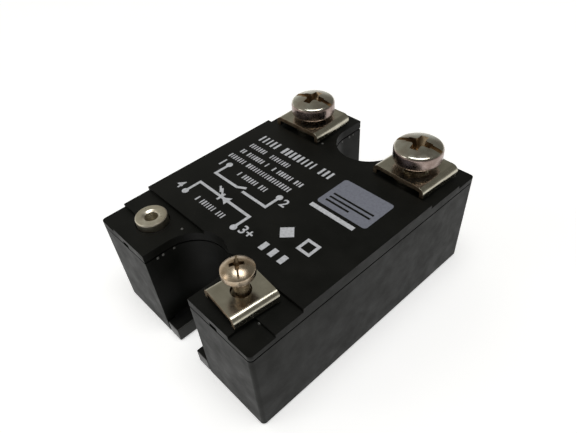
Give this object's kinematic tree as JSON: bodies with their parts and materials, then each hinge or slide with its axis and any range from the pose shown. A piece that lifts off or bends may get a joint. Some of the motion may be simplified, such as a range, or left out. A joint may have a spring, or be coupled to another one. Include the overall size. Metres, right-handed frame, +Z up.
{
  "type": "solid state relay",
  "caption": "Panel-mount solid state relay: black moulded block with screw terminals under saddle clamps and a metal heat-sink base; one control terminal is bare.",
  "frame": {"origin": "middle of the base plate's underside, on the plane that meets the heat sink", "axes": "+X across the relay towards terminals 2 and 3, +Y along it towards the load terminals 1 and 2, +Z up"},
  "size_m": [0.0448, 0.0582, 0.0307],
  "materials": {
    "black_plastic": "satin",
    "base_metal": "satin",
    "clamp_nickel": "satin",
    "screw_nickel": "polished",
    "post_nickel": "satin",
    "copper": "satin",
    "alumina": "matte",
    "silicon": "gloss",
    "board": "satin",
    "tinned_pin": "satin",
    "package_epoxy": "matte",
    "resistor_lacquer": "satin",
    "capacitor_dip": "gloss",
    "potting_compound": "gloss",
    "white_ink": "satin"
  },
  "bodies": {
    "root": {"housing_case": "black_plastic", "terminal_cover": "black_plastic", "base_plate": "base_metal", "power_post_1": "post_nickel", "power_post_2": "post_nickel", "control_post_3": "post_nickel", "control_post_4": "post_nickel", "substrate_lower_copper": "copper", "load_pad_1": "copper", "load_pad_2": "copper", "gate_pad_1": "copper", "gate_pad_2": "copper", "chip_clip_1": "copper", "chip_clip_2": "copper", "load_busbar_1": "copper", "load_busbar_2": "copper", "substrate_ceramic": "alumina", "thyristor_chip_1": "silicon", "thyristor_chip_2": "silicon", "control_board": "board", "control_pin_3": "tinned_pin", "control_pin_4": "tinned_pin", "gate_pin_1": "tinned_pin", "gate_pin_2": "tinned_pin", "optical_coupler": "package_epoxy", "input_transistor": "package_epoxy", "input_diode": "package_epoxy", "input_resistor": "resistor_lacquer", "gate_resistor_1": "resistor_lacquer", "gate_resistor_2": "resistor_lacquer", "filter_capacitor": "capacitor_dip", "potting": "potting_compound"},
    "power_clamp_1": {"power_clamp_1": "clamp_nickel"},
    "power_screw_1": {"power_screw_1": "screw_nickel"},
    "power_clamp_2": {"power_clamp_2": "clamp_nickel"},
    "power_screw_2": {"power_screw_2": "screw_nickel"},
    "control_clamp_3": {"control_clamp_3": "clamp_nickel"},
    "control_screw_3": {"control_screw_3": "screw_nickel"}
  },
  "joints": [
    {"name": "clamp_1_lift", "type": "slide", "parent": "root", "child": "power_clamp_1", "axis": [0, 0, 1], "range_m": [0, 0.004]},
    {"name": "screw_1_turn", "type": "hinge", "parent": "power_clamp_1", "child": "power_screw_1", "pos_m": [-0.014, 0.0212, 0.0247], "axis": [0, 0, 1], "range_deg": [0, 1800]},
    {"name": "clamp_2_lift", "type": "slide", "parent": "root", "child": "power_clamp_2", "axis": [0, 0, 1], "range_m": [0, 0.004]},
    {"name": "screw_2_turn", "type": "hinge", "parent": "power_clamp_2", "child": "power_screw_2", "pos_m": [0.014, 0.0212, 0.0247], "axis": [0, 0, 1], "range_deg": [0, 1800]},
    {"name": "clamp_3_lift", "type": "slide", "parent": "root", "child": "control_clamp_3", "axis": [0, 0, 1], "range_m": [0, 0.002]},
    {"name": "screw_3_travel", "type": "slide", "parent": "control_clamp_3", "child": "control_screw_3", "axis": [0, 0, 1], "range_m": [-0.00335, 0.001]}
  ],
  "couplings": [
    {"joint": "screw_1_turn", "follows": "clamp_1_lift", "rad_per_m": 7854},
    {"joint": "screw_2_turn", "follows": "clamp_2_lift", "rad_per_m": 7854}
  ]
}
